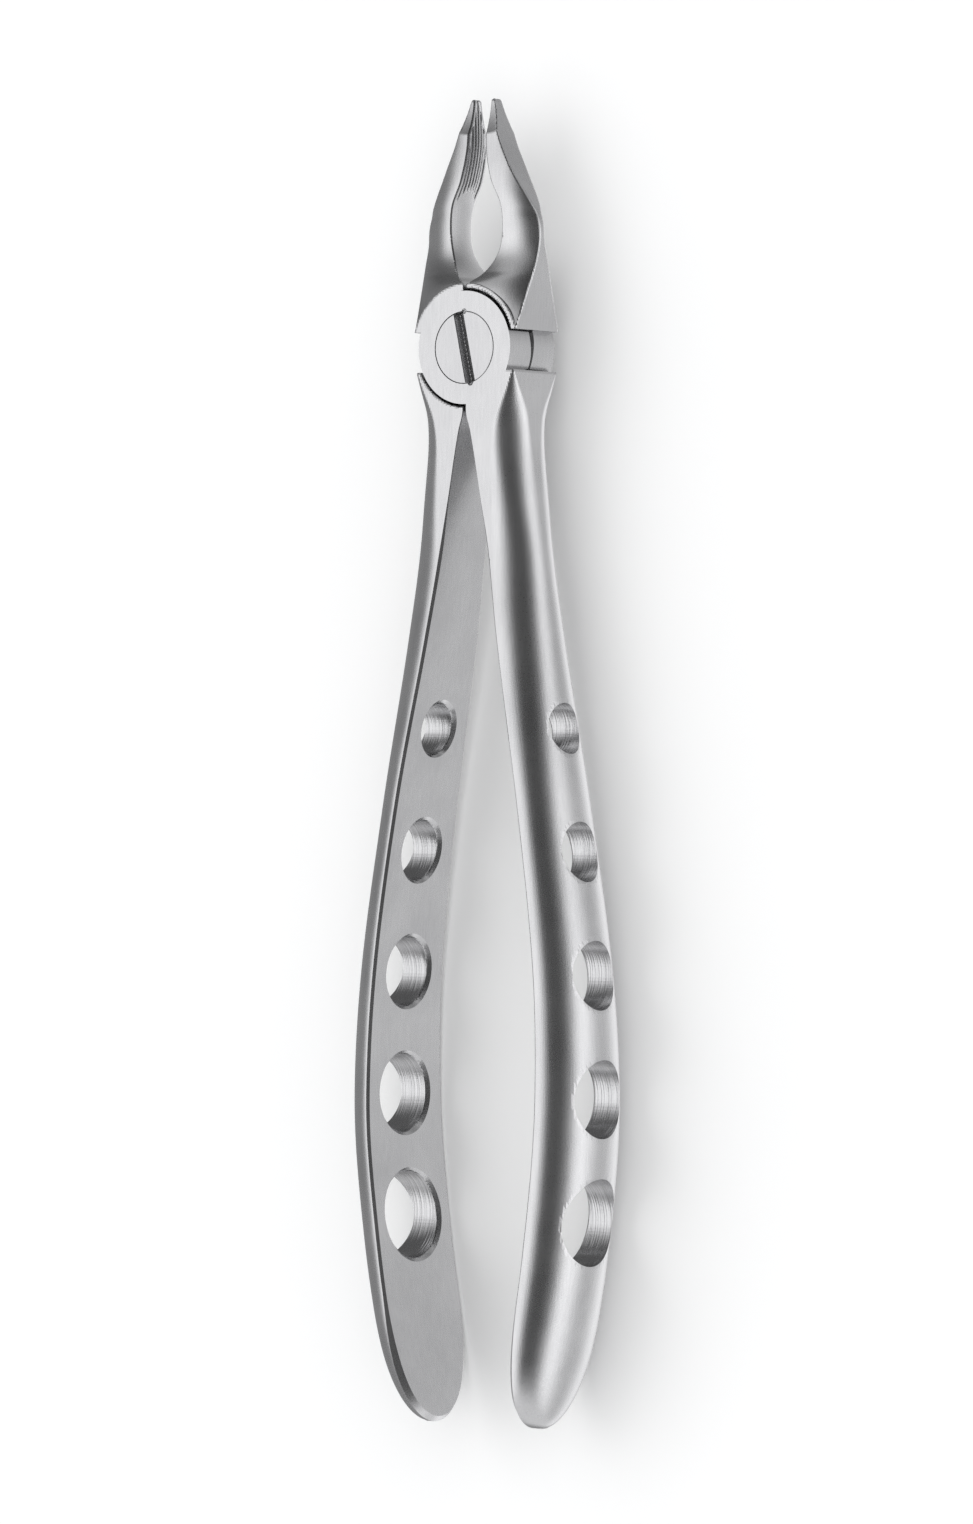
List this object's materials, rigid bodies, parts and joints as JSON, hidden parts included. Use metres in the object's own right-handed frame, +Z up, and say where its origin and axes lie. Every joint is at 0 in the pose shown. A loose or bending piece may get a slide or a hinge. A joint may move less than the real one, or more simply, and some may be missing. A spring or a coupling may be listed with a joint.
{
  "type": "extraction_forceps",
  "caption": "Dental extraction forceps: crossed steel levers turning on a slotted screw, with waisted jaws, serrated tips and long bowed handles pierced by a row of grip holes",
  "frame": {"origin": "where the pivot axis leaves the flat back face of the joint", "axes": "+Y along the instrument towards the jaw tips, +X across the jaws towards the back lever's jaw, +Z up, along the pivot axis towards the screw head. The instrument lies on its back, as it rests on a table"},
  "size_m": [0.0378, 0.175, 0.0166],
  "materials": {
    "satin_steel": "satin",
    "screw_steel": "satin"
  },
  "bodies": {
    "back_half": {"back_lever": "satin_steel", "pivot_screw": "screw_steel"},
    "front_half": {"front_lever": "satin_steel"}
  },
  "joints": [
    {"name": "jaw_pivot", "type": "hinge", "parent": "back_half", "child": "front_half", "pos_m": [0, 0, 0.005], "axis": [0, 0, 1], "range_deg": [-2, 28]}
  ]
}
